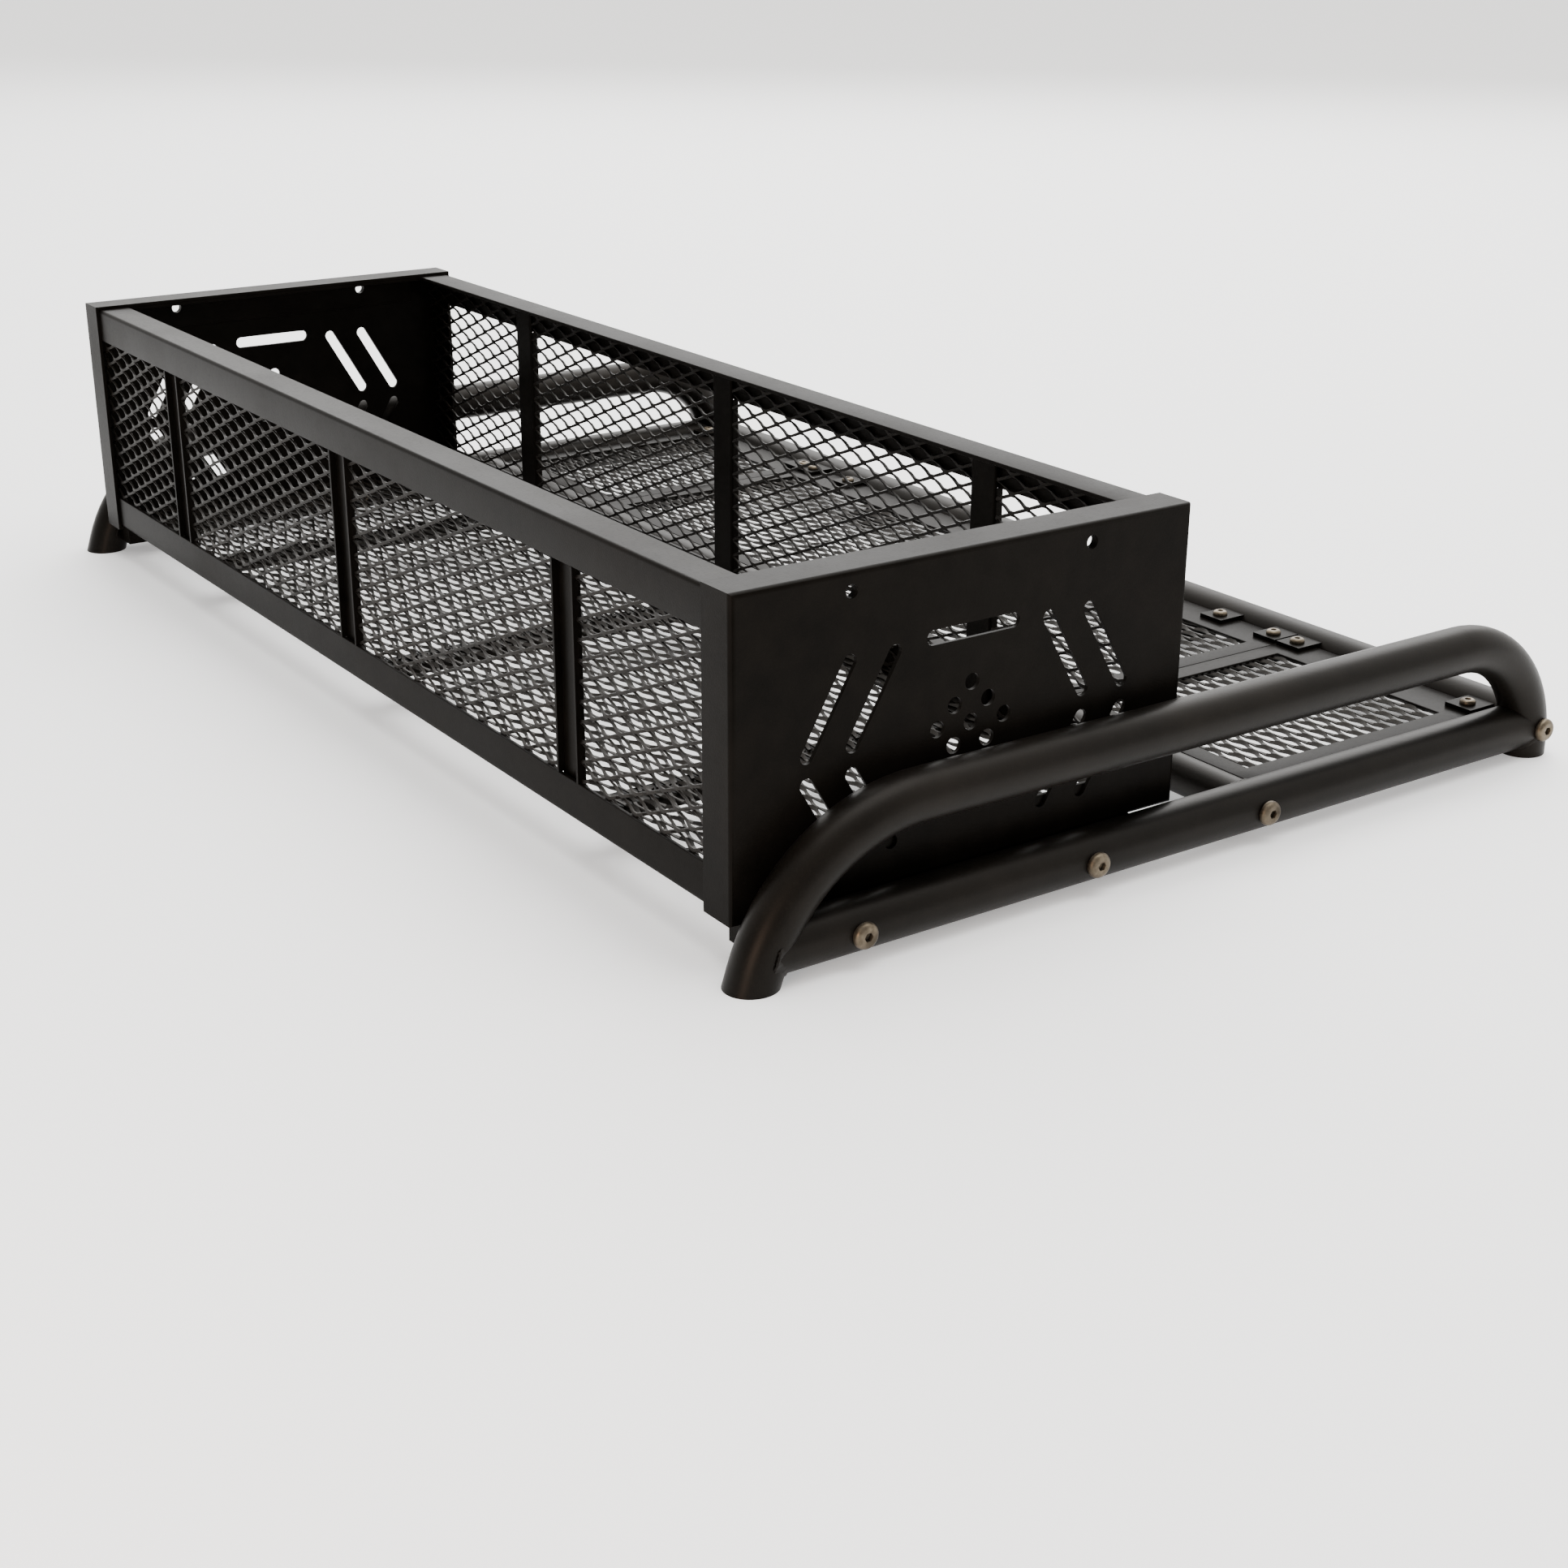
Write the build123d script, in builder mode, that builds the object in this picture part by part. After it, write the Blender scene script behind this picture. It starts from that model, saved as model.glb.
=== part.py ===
from build123d import *
import os
from math import cos, radians, tan

# Utility-vehicle rear rack: a sheet-ended mesh basket bolted behind a mesh deck.
# +X is the vehicle's right, +Y is forward, +Z is up, sizes are in millimetres.
# The origin is on the ground plane, midway between the side hoops and midway
# along the rack, so the four leg ends stand on Z = 0.

os.makedirs("parts", exist_ok=True)

# ---------------------------------------------------------------- driving sizes
# Basket, over the outside of its two folded end plates
basket_length = 985.0
basket_width = 325.0
basket_height = 190.0
plate_thickness = 2.5
plate_flange = 28.5
plate_bend_radius = 3.5

# Angle rails that frame the basket
rail_leg = 25.4
rail_thickness = 3.0

# Channel dividers in the long walls and channel ribs under the floor
divider_width = 25.4
divider_depth = 6.5
divider_thickness = 2.0
divider_spacing = 310.0
rib_depth = 8.0

# Holes and slots in the end plates
plate_hole_diameter = 8.0
plate_hole_spacing = 170.0
plate_hole_drop = 11.5
slot_width = 8.7
slot_bow = 0.8
slot_inner_offset = 55.0
slot_spread = 28.0
slot_row_spacing = 30.5
slot_upper_top = 139.0
slot_upper_length = 49.0
slot_lower_bottom = 26.0
slot_lower_length = 47.0
label_slot_length = 66.0
label_slot_width = 9.0
label_slot_height = 142.0
vent_hole_diameter = 10.0
vent_hole_pitch = 17.0
vent_centre_height = 87.0

# Expanded metal: diamond cells, long way by short way
mesh_long_pitch = 30.5
mesh_short_pitch = 12.7
mesh_strand = 2.6
mesh_thickness = 2.0
mesh_rim = 1.5

# Side hoops and lower rails
tube_diameter = 31.75
tube_wall = 2.0
tube_gap = 0.5
rack_length = 669.0
lower_rail_lift = 4.0
hoop_rise = 67.0
rear_leg_lean = 18.0
rear_bend_radius = 115.0
front_bend_radius = 80.0

# Where the basket and the cross tubes sit along the rack
basket_setback = 15.0
basket_rise = 8.0
middle_tube_from_rear = 392.0
middle_tube_diameter = 25.4

# Deck panels between the cross tubes
deck_wall_height = 14.0
deck_flange = 16.0
deck_strip = 34.0
deck_strip_gap = 4.0
deck_sheet_thickness = 2.0
deck_rise = 6.0
deck_clearance = 0.2
deck_seam_x = 310.0
tab_width = 22.0
tab_length = 20.0
tab_thickness = 3.0
tab_inset = 12.0

# Fasteners
bolt_diameter = 8.0
bolt_clearance = 0.6
bolt_head_diameter = 16.0
bolt_head_height = 4.4
bolt_socket = 5.0
head_crown_share = 0.6
socket_depth_share = 0.7
deck_bolt_diameter = 6.0
deck_bolt_head_diameter = 11.0
deck_bolt_head_height = 3.3
deck_bolt_socket = 4.0
deck_nut_across_flats = 10.0
deck_nut_height = 5.0
plug_clearance = 0.05
tube_plug_length = 22.0
end_plug_height = 8.0
basket_bolt_positions = (81.0, 251.0)
block_end_margin = 55.0
block_depth = 20.0
block_hang = 9.0
bolt_engagement = 0.9

# Welded tabs that bolt the rack to the vehicle
mount_spacing = 400.0
mount_tab_width = 40.0
mount_tab_length = 38.0
mount_tab_thickness = 5.0
mount_hole_diameter = 8.6
mount_hole_inset = 14.0
mount_tab_root = 0.4

# ---------------------------------------------------------------- worked-out places
tube_radius = tube_diameter / 2
tube_bore_radius = tube_radius - tube_wall
middle_tube_radius = middle_tube_diameter / 2
plate_face_x = basket_length / 2
plate_inner_x = plate_face_x - plate_thickness
side_tube_x = plate_face_x + tube_gap + tube_radius
rear_y = -rack_length / 2
front_y = rack_length / 2
basket_rear_y = rear_y + basket_setback
basket_front_y = basket_rear_y + basket_width
basket_mid_y = (basket_rear_y + basket_front_y) / 2
lower_rail_z = lower_rail_lift + tube_radius
upper_rail_z = lower_rail_z + hoop_rise
basket_z = lower_rail_z + basket_rise
basket_top_z = basket_z + basket_height

rear_foot_y = rear_y + tube_radius / cos(radians(rear_leg_lean))
front_leg_y = front_y - tube_radius
middle_tube_y = rear_y + middle_tube_from_rear
rear_leg_at_rail_y = rear_foot_y + lower_rail_z * tan(radians(rear_leg_lean))

# The rails stand one plate thickness inside the folded flanges
rail_rear_y = basket_rear_y + plate_thickness
rail_front_y = basket_front_y - plate_thickness
rail_top_z = basket_top_z - plate_thickness
rail_bottom_z = basket_z + plate_thickness
wall_top_z = rail_top_z - rail_leg
floor_z = rail_bottom_z + rail_thickness
divider_places = (-divider_spacing, 0.0, divider_spacing)
divider_names = ("left", "centre", "right")
bay_edges = (-plate_inner_x, *divider_places, plate_inner_x)

basket_bolt_ys = [rear_y + place for place in basket_bolt_positions]
rail_bolt_ys = [*basket_bolt_ys, middle_tube_y]
bolt_hole_diameter = bolt_diameter + bolt_clearance

# The deck fills the space between the cross tubes and between the lower rails
deck_rear_y = middle_tube_y + middle_tube_radius + deck_clearance
deck_front_y = front_leg_y - tube_radius - deck_clearance
deck_side_x = side_tube_x - tube_radius - deck_clearance
deck_z = lower_rail_z + deck_rise
deck_bolt_y = deck_front_y - tab_length / 2


def save(part, name):
    part.label = name
    export_step(part, f"parts/{name}.step", write_pcurves=False)


def side_name(side):
    return "right" if side > 0 else "left"


# ---------------------------------------------------------------- end plates
def slot_rows():
    """Centre lines of the slanted slots: start, bowed middle and end in the plate's plane."""
    rows = []
    for side in (-1, 1):
        for row in (0, 1):
            near = side * (slot_inner_offset + row * slot_row_spacing)
            far = side * (slot_inner_offset + slot_spread + row * slot_row_spacing)
            bow = side * slot_bow
            upper_low = slot_upper_top - slot_upper_length
            lower_high = slot_lower_bottom + slot_lower_length
            upper_mid = ((near + far) / 2 + bow, (slot_upper_top + upper_low) / 2 + slot_bow)
            lower_mid = ((near + far) / 2 + bow, (slot_lower_bottom + lower_high) / 2 - slot_bow)
            rows.append(((near, slot_upper_top), upper_mid, (far, upper_low)))
            rows.append(((far, lower_high), lower_mid, (near, slot_lower_bottom)))
    return rows


def end_plate(side):
    web_plane = Plane(
        origin=(side * plate_face_x, basket_mid_y, basket_z), x_dir=(0, 1, 0), z_dir=(1, 0, 0)
    )
    outer_x = side * (plate_face_x - plate_flange / 2)
    inner_x = side * (plate_face_x - plate_thickness - plate_flange / 2)
    mid_z = (basket_z + basket_top_z) / 2
    with BuildPart() as plate:
        with Locations((outer_x, basket_mid_y, mid_z)):
            Box(plate_flange, basket_width, basket_height)
        web_face = plate.faces().sort_by(Axis.X)[-1 if side > 0 else 0]
        fillet(web_face.edges(), radius=plate_bend_radius)
        with Locations((inner_x, basket_mid_y, mid_z)):
            Box(
                plate_flange,
                basket_width - 2 * plate_thickness,
                basket_height - 2 * plate_thickness,
                mode=Mode.SUBTRACT,
            )
        with BuildSketch(web_plane):
            with Locations((0, basket_height - plate_hole_drop)):
                with GridLocations(plate_hole_spacing, 1, 2, 1):
                    Circle(plate_hole_diameter / 2)
            with Locations((0, label_slot_height)):
                SlotOverall(label_slot_length, label_slot_width)
            with Locations((0, vent_centre_height)):
                with Locations(Location((0, 0), 45)):
                    with GridLocations(vent_hole_pitch, vent_hole_pitch, 3, 3):
                        Circle(vent_hole_diameter / 2)
        extrude(amount=2 * plate_thickness, both=True, mode=Mode.SUBTRACT)
        for start, middle, end in slot_rows():
            with BuildSketch(web_plane):
                with BuildLine():
                    centre_line = ThreePointArc(start, middle, end)
                SlotArc(centre_line, slot_width)
            extrude(amount=2 * plate_thickness, both=True, mode=Mode.SUBTRACT)
    save(plate.part, f"{side_name(side)}_end_plate")


# ---------------------------------------------------------------- angle rails
def angle_outline(corner_y, corner_z, out_y, out_z):
    """Angle section: its outer corner, and the directions that its legs run in."""
    Polyline(
        (corner_y, corner_z),
        (corner_y + out_y * rail_leg, corner_z),
        (corner_y + out_y * rail_leg, corner_z + out_z * rail_thickness),
        (corner_y + out_y * rail_thickness, corner_z + out_z * rail_thickness),
        (corner_y + out_y * rail_thickness, corner_z + out_z * rail_leg),
        (corner_y, corner_z + out_z * rail_leg),
        close=True,
    )


def long_rails():
    corners = {
        "rear_top_rail": (rail_rear_y, rail_top_z, 1, -1),
        "rear_bottom_rail": (rail_rear_y, rail_bottom_z, 1, 1),
        "front_top_rail": (rail_front_y, rail_top_z, -1, -1),
        "front_bottom_rail": (rail_front_y, rail_bottom_z, -1, 1),
    }
    for name, corner in corners.items():
        with BuildPart() as rail:
            with BuildSketch(Plane.YZ):
                with BuildLine():
                    angle_outline(*corner)
                make_face()
            extrude(amount=plate_inner_x, both=True)
        save(rail.part, name)


def end_rails(side):
    """Short rails against the end plate, fitted between the long rails."""
    rail_span = rail_front_y - rail_rear_y - 2 * rail_leg
    ends_plane = Plane(origin=(0, basket_mid_y, 0), x_dir=(1, 0, 0), z_dir=(0, -1, 0))
    web_x = side * plate_inner_x
    for level, corner_z, out_z in (("top", rail_top_z, -1), ("bottom", rail_bottom_z, 1)):
        with BuildPart() as rail:
            with BuildSketch(ends_plane):
                with BuildLine():
                    angle_outline(web_x, corner_z, -side, out_z)
                make_face()
            extrude(amount=rail_span / 2, both=True)
            if level == "top":
                hole_plane = Plane(
                    origin=(web_x, basket_mid_y, basket_top_z - plate_hole_drop),
                    x_dir=(0, 1, 0),
                    z_dir=(1, 0, 0),
                )
                with BuildSketch(hole_plane):
                    with GridLocations(plate_hole_spacing, 1, 2, 1):
                        Circle(plate_hole_diameter / 2)
                extrude(amount=2 * rail_thickness, both=True, mode=Mode.SUBTRACT)
        save(rail.part, f"{side_name(side)}_end_{level}_rail")


# ---------------------------------------------------------------- dividers and ribs
def wall_divider(wall, out, face_y, x, name):
    """Channel post with its lips outward, notched to pass behind the two rails."""
    lip = divider_thickness
    full_height = rail_top_z - rail_bottom_z - 2 * rail_thickness
    notch_height = rail_leg - rail_thickness
    with BuildPart() as post:
        with BuildSketch(Plane.XY.offset(floor_z)):
            with Locations((x, face_y - out * divider_depth / 2)):
                Rectangle(divider_width, divider_depth)
            with Locations((x, face_y - out * (divider_depth - lip) / 2)):
                Rectangle(divider_width - 2 * lip, divider_depth - lip, mode=Mode.SUBTRACT)
        extrude(amount=full_height)
        for notch_z in (floor_z + notch_height / 2, wall_top_z + notch_height / 2):
            with Locations((x, face_y - out * rail_thickness / 2, notch_z)):
                Box(divider_width, rail_thickness, notch_height, mode=Mode.SUBTRACT)
    save(post.part, f"{wall}_{name}_divider")


def floor_rib(x, name):
    rib_span = rail_front_y - rail_rear_y - 2 * rail_leg
    rib_plane = Plane(origin=(x, basket_mid_y, floor_z), x_dir=(1, 0, 0), z_dir=(0, -1, 0))
    with BuildPart() as rib:
        with BuildSketch(rib_plane):
            with Locations((0, -rib_depth / 2)):
                Rectangle(divider_width, rib_depth)
            with Locations((0, -(rib_depth + divider_thickness) / 2)):
                Rectangle(
                    divider_width - 2 * divider_thickness,
                    rib_depth - divider_thickness,
                    mode=Mode.SUBTRACT,
                )
        extrude(amount=rib_span / 2, both=True)
    save(rib.part, f"floor_{name}_rib")


# ---------------------------------------------------------------- expanded metal
def mesh_openings(width, height):
    """Diamond openings of a sheet, every second row shifted, inside an uncut rim."""
    half_long = mesh_long_pitch / 2
    half_short = mesh_short_pitch / 2
    half_cell = half_long * half_short / (half_long**2 + half_short**2) ** 0.5
    share = 1 - mesh_strand / 2 / half_cell
    tip_x = half_long * share
    tip_y = half_short * share
    columns = int(width / mesh_long_pitch) + 2
    rows = int(height / mesh_short_pitch) + 2
    with BuildSketch() as openings:
        for shift_x, shift_y in ((0, 0), (half_long, half_short)):
            with Locations((shift_x, shift_y)):
                with GridLocations(mesh_long_pitch, mesh_short_pitch, columns, rows):
                    Polygon((tip_x, 0), (0, tip_y), (-tip_x, 0), (0, -tip_y))
        Rectangle(width - 2 * mesh_rim, height - 2 * mesh_rim, mode=Mode.INTERSECT)
    return openings.sketch


def mesh_sheet(plane, width, height, name):
    with BuildPart() as sheet:
        with BuildSketch(plane):
            Rectangle(width, height)
            add(mesh_openings(width, height), mode=Mode.SUBTRACT)
        extrude(amount=mesh_thickness)
    save(sheet.part, name)


def wall_meshes(wall, out, face_y):
    """One sheet in each bay of a long wall, against the inside of the rails."""
    sheet_y = face_y - out * rail_thickness
    height = rail_top_z - rail_thickness - floor_z
    mid_z = floor_z + height / 2
    for bay in range(len(bay_edges) - 1):
        left = bay_edges[bay] + (divider_width / 2 if bay > 0 else 0)
        right = bay_edges[bay + 1] - (divider_width / 2 if bay < len(bay_edges) - 2 else 0)
        sheet_plane = Plane(
            origin=((left + right) / 2, sheet_y, mid_z), x_dir=(1, 0, 0), z_dir=(0, -out, 0)
        )
        mesh_sheet(sheet_plane, right - left, height, f"{wall}_mesh_{bay + 1}")


def floor_meshes():
    """Sheets that meet over the ribs and lie on the rails' inward legs."""
    depth = rail_front_y - rail_rear_y - 2 * rail_thickness
    depth -= 2 * (divider_depth - rail_thickness)
    for bay in range(len(bay_edges) - 1):
        left = bay_edges[bay] + (rail_thickness if bay == 0 else 0)
        right = bay_edges[bay + 1] - (rail_thickness if bay == len(bay_edges) - 2 else 0)
        sheet_plane = Plane(origin=((left + right) / 2, basket_mid_y, floor_z))
        mesh_sheet(sheet_plane, right - left, depth, f"floor_mesh_{bay + 1}")


# ---------------------------------------------------------------- side tubes
def hoop_path():
    """Centre line of the hoop, starting below the ground so that the leg is cut level."""
    below = -tube_diameter
    rear_start = rear_foot_y + below * tan(radians(rear_leg_lean))
    rear_corner = rear_foot_y + upper_rail_z * tan(radians(rear_leg_lean))
    return FilletPolyline(
        (rear_start, below),
        (rear_corner, upper_rail_z),
        (front_leg_y, upper_rail_z),
        (front_leg_y, below),
        radius=[rear_bend_radius, front_bend_radius],
    )


def hoop_solid(side, radius):
    tube_plane = Plane(origin=(side * side_tube_x, 0, 0), x_dir=(0, 1, 0), z_dir=(1, 0, 0))
    with BuildPart() as solid:
        with BuildLine(tube_plane) as path:
            hoop_path()
        start = path.line
        with BuildSketch(Plane(origin=start @ 0, z_dir=start % 0)):
            Circle(radius)
        sweep(path=start)
        split(bisect_by=Plane.XY, keep=Keep.TOP)
    return solid.part


def side_hoop(side):
    with BuildPart() as hoop:
        add(hoop_solid(side, tube_radius))
        add(hoop_solid(side, tube_bore_radius), mode=Mode.SUBTRACT)
        with Locations((side * side_tube_x, front_leg_y, lower_rail_z)):
            Cylinder(
                bolt_hole_diameter / 2, 2 * tube_diameter, rotation=(0, 90, 0), mode=Mode.SUBTRACT
            )
    save(hoop.part, f"{side_name(side)}_side_hoop")


def lower_rail_solid(side, radius):
    """Solid bar from the rear leg's axis to the front leg's."""
    rail_start = Plane(
        origin=(side * side_tube_x, rear_leg_at_rail_y, lower_rail_z),
        x_dir=(1, 0, 0),
        z_dir=(0, 1, 0),
    )
    with BuildPart() as solid:
        with BuildSketch(rail_start):
            Circle(radius)
        extrude(amount=front_leg_y - rear_leg_at_rail_y)
    return solid.part


def lower_rail(side):
    """Straight tube coped to both legs of the hoop and drilled for its bolts."""
    with BuildPart() as rail:
        add(lower_rail_solid(side, tube_radius))
        add(lower_rail_solid(side, tube_bore_radius), mode=Mode.SUBTRACT)
        add(hoop_solid(side, tube_radius), mode=Mode.SUBTRACT)
        with Locations(*[(side * side_tube_x, y, lower_rail_z) for y in rail_bolt_ys]):
            Cylinder(
                bolt_hole_diameter / 2, 2 * tube_diameter, rotation=(0, 90, 0), mode=Mode.SUBTRACT
            )
    save(rail.part, f"{side_name(side)}_lower_rail")


def end_plugs():
    """Plastic plugs that close the four leg ends, level with the ground."""
    bore = tube_bore_radius - plug_clearance
    with BuildPart() as plugs:
        for side in (-1, 1):
            add(hoop_solid(side, bore))
        split(bisect_by=Plane.XY.offset(end_plug_height), keep=Keep.BOTTOM)
    save(plugs.part, "hoop_end_plugs")


# ---------------------------------------------------------------- cross tubes
def cross_tube(y, radius, name):
    """Tube across the rack, coped to what it meets on each side."""
    bore = radius - tube_wall
    with BuildPart() as tube:
        with BuildSketch(Plane(origin=(0, y, lower_rail_z), x_dir=(0, 1, 0), z_dir=(1, 0, 0))):
            Circle(radius)
            Circle(bore, mode=Mode.SUBTRACT)
        extrude(amount=side_tube_x, both=True)
        for side in (-1, 1):
            add(hoop_solid(side, tube_radius), mode=Mode.SUBTRACT)
            add(lower_rail_solid(side, tube_radius), mode=Mode.SUBTRACT)
    save(tube.part, name)


def cross_tube_plugs():
    """Threaded plugs inside the ends of both cross tubes."""
    outer_x = side_tube_x - tube_radius - plug_clearance
    with BuildPart() as plugs:
        for y, radius in ((middle_tube_y, middle_tube_radius), (front_leg_y, tube_radius)):
            for side in (-1, 1):
                with Locations((side * (outer_x - tube_plug_length / 2), y, lower_rail_z)):
                    Cylinder(
                        radius - tube_wall - plug_clearance, tube_plug_length, rotation=(0, 90, 0)
                    )
                    Cylinder(
                        bolt_diameter / 2, tube_plug_length, rotation=(0, 90, 0), mode=Mode.SUBTRACT
                    )
    save(plugs.part, "cross_tube_plugs")


# ---------------------------------------------------------------- basket blocks
def basket_blocks(side):
    """Tapped bar under the basket's edge, against the inside of the lower rail."""
    block_bottom = lower_rail_z - block_hang
    block_x = side * (side_tube_x - tube_radius - block_depth / 2)
    block_start = basket_bolt_ys[0] - block_end_margin
    block_end = basket_bolt_ys[-1] + block_end_margin
    with BuildPart() as blocks:
        with Locations((block_x, (block_start + block_end) / 2, (basket_z + block_bottom) / 2)):
            Box(block_depth, block_end - block_start, basket_z - block_bottom)
        for y in basket_bolt_ys:
            with Locations((block_x, y, lower_rail_z)):
                Cylinder(
                    bolt_diameter / 2, 2 * block_depth, rotation=(0, 90, 0), mode=Mode.SUBTRACT
                )
    save(blocks.part, f"{side_name(side)}_basket_blocks")


# ---------------------------------------------------------------- deck
def deck_panel(name, left, right):
    """Folded tray, open side down: a flange round its window, a wide strip in front, its mesh."""
    width = right - left
    mid_x = (left + right) / 2
    depth = deck_front_y - deck_rear_y
    mid_y = (deck_rear_y + deck_front_y) / 2
    sheet = deck_sheet_thickness
    opening_depth = depth - deck_flange - deck_strip
    with BuildPart() as frame:
        with BuildSketch(Plane.XY.offset(deck_z)):
            with Locations((mid_x, mid_y)):
                Rectangle(width, depth)
            with Locations((mid_x, deck_rear_y + deck_flange + opening_depth / 2)):
                Rectangle(width - 2 * deck_flange, opening_depth, mode=Mode.SUBTRACT)
        extrude(amount=sheet)
        with BuildSketch(Plane.XY.offset(deck_z + sheet)):
            with Locations((mid_x, mid_y)):
                Rectangle(width, depth)
            with Locations((mid_x, mid_y + sheet)):
                Rectangle(width - 2 * sheet, depth, mode=Mode.SUBTRACT)
        extrude(amount=-deck_wall_height)
        with BuildSketch(Plane.XY.offset(deck_z)):
            with Locations(*[(x, deck_bolt_y) for x in tab_places() if left < x < right]):
                Circle((deck_bolt_diameter + bolt_clearance) / 2)
        extrude(amount=sheet, mode=Mode.SUBTRACT)
    save(frame.part, f"{name}_deck_frame")

    mesh_depth = depth - sheet - tab_length - deck_strip_gap
    mesh_plane = Plane(origin=(mid_x, deck_rear_y + sheet + mesh_depth / 2, deck_z - mesh_thickness))
    mesh_sheet(mesh_plane, width - 2 * sheet, mesh_depth, f"{name}_deck_mesh")


def tab_places():
    """Tabs beside each seam, at the outer corners and one more each side of the middle."""
    seam = deck_seam_x
    corner = deck_side_x - tab_inset
    right = (seam - 2 * tab_width - 2 * tab_inset, seam - tab_inset, seam + tab_inset, corner)
    return [side * x for side in (-1, 1) for x in right]


def deck_tabs():
    """Small plates welded to the front cross tube and bolted down on the deck's front strips."""
    back_y = deck_front_y - tab_length
    reach = front_leg_y - tube_radius / 2 - back_y
    bottom_z = deck_z + deck_sheet_thickness
    with BuildPart() as tabs:
        for x in tab_places():
            with Locations((x, back_y + reach / 2, bottom_z + tab_thickness / 2)):
                Box(tab_width, reach, tab_thickness)
            with Locations((x, deck_bolt_y, bottom_z)):
                Cylinder(
                    (deck_bolt_diameter + bolt_clearance) / 2, 4 * tab_thickness,
                    mode=Mode.SUBTRACT,
                )
        with Locations((0, front_leg_y, lower_rail_z)):
            Cylinder(tube_radius, basket_length, rotation=(0, 90, 0), mode=Mode.SUBTRACT)
    save(tabs.part, "deck_tabs")


# ---------------------------------------------------------------- vehicle mounting tabs
def mount_tabs():
    """Flat tabs under the cross tubes, each with one hole, pointing toward the deck's middle."""
    top_z = lower_rail_lift + mount_tab_thickness
    with BuildPart() as tabs:
        for y, radius, toward in (
            (middle_tube_y, middle_tube_radius, 1),
            (front_leg_y, tube_radius, -1),
        ):
            near = y + toward * mount_tab_root * radius
            far = y + toward * (radius + mount_tab_length)
            hole_y = far - toward * mount_hole_inset
            for side in (-1, 1):
                x = side * mount_spacing / 2
                with Locations((x, (near + far) / 2, top_z - mount_tab_thickness / 2)):
                    Box(mount_tab_width, abs(far - near), mount_tab_thickness)
                with Locations((x, hole_y, top_z)):
                    Cylinder(
                        mount_hole_diameter / 2, 4 * mount_tab_thickness, mode=Mode.SUBTRACT
                    )
            with Locations((0, y, lower_rail_z)):
                Cylinder(radius, basket_length, rotation=(0, 90, 0), mode=Mode.SUBTRACT)
    save(tabs.part, "mount_tabs")


# ---------------------------------------------------------------- fasteners
def button_bolt(seat, diameter, head_diameter, head_height, socket, length):
    """Domed hex-socket bolt: the seat plane's normal points out through its head."""
    with BuildPart() as bolt:
        with BuildSketch(seat):
            Circle(head_diameter / 2)
        extrude(amount=head_height)
        crown = bolt.faces().sort_by(Axis(seat.origin, seat.z_dir))[-1]
        fillet(crown.edges(), radius=head_crown_share * head_height)
        with BuildSketch(seat.offset(head_height)):
            RegularPolygon(socket / 2, 6, major_radius=False)
        extrude(amount=-socket_depth_share * head_height, mode=Mode.SUBTRACT)
        with BuildSketch(seat):
            Circle(diameter / 2)
        extrude(amount=-length)
    return bolt.part


def rail_bolts():
    """Bolts through the lower rails into the basket's blocks and the cross tubes' plugs."""
    seat_x = side_tube_x + tube_radius
    with BuildPart() as bolts:
        for side in (-1, 1):
            for y in (*basket_bolt_ys, middle_tube_y, front_leg_y):
                grip = block_depth if y in basket_bolt_ys else tube_plug_length
                seat = Plane(origin=(side * seat_x, y, lower_rail_z), z_dir=(side, 0, 0))
                add(
                    button_bolt(
                        seat, bolt_diameter, bolt_head_diameter, bolt_head_height,
                        bolt_socket, tube_diameter + bolt_engagement * grip,
                    )
                )
    save(bolts.part, "rail_bolts")


def deck_fasteners():
    """Bolts down through the tabs and the deck's strips, with nuts underneath."""
    seat_z = deck_z + deck_sheet_thickness + tab_thickness
    length = tab_thickness + deck_sheet_thickness + deck_nut_height
    with BuildPart() as bolts:
        for x in tab_places():
            seat = Plane(origin=(x, deck_bolt_y, seat_z))
            add(
                button_bolt(
                    seat, deck_bolt_diameter, deck_bolt_head_diameter, deck_bolt_head_height,
                    deck_bolt_socket, length,
                )
            )
    save(bolts.part, "deck_bolts")

    with BuildPart() as nuts:
        with BuildSketch(Plane.XY.offset(deck_z)):
            with Locations(*[(x, deck_bolt_y) for x in tab_places()]):
                RegularPolygon(deck_nut_across_flats / 2, 6, major_radius=False)
                Circle(deck_bolt_diameter / 2, mode=Mode.SUBTRACT)
        extrude(amount=-deck_nut_height)
    save(nuts.part, "deck_nuts")


# ---------------------------------------------------------------- build
for side in (-1, 1):
    end_plate(side)
    end_rails(side)
    side_hoop(side)
    lower_rail(side)
    basket_blocks(side)

long_rails()
for x, name in zip(divider_places, divider_names):
    wall_divider("rear", -1, rail_rear_y, x, name)
    wall_divider("front", 1, rail_front_y, x, name)
    floor_rib(x, name)
wall_meshes("rear", -1, rail_rear_y)
wall_meshes("front", 1, rail_front_y)
floor_meshes()

cross_tube(middle_tube_y, middle_tube_radius, "middle_cross_tube")
cross_tube(front_leg_y, tube_radius, "front_cross_tube")
cross_tube_plugs()
end_plugs()

deck_panel("left", -deck_side_x, -deck_seam_x)
deck_panel("centre", -deck_seam_x, deck_seam_x)
deck_panel("right", deck_seam_x, deck_side_x)
deck_tabs()
mount_tabs()
rail_bolts()
deck_fasteners()
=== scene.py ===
# %% [markdown]
# # A vehicle's rear basket rack
# A basket of folded sheet, angle rails and expanded metal stands behind a mesh
# deck, and two bent tubes guard the sides. Everything is steel with a satin
# black powder coat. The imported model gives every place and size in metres.

# %% Load the frame
from math import atan2, cos, pi, radians, sin, tan

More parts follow.
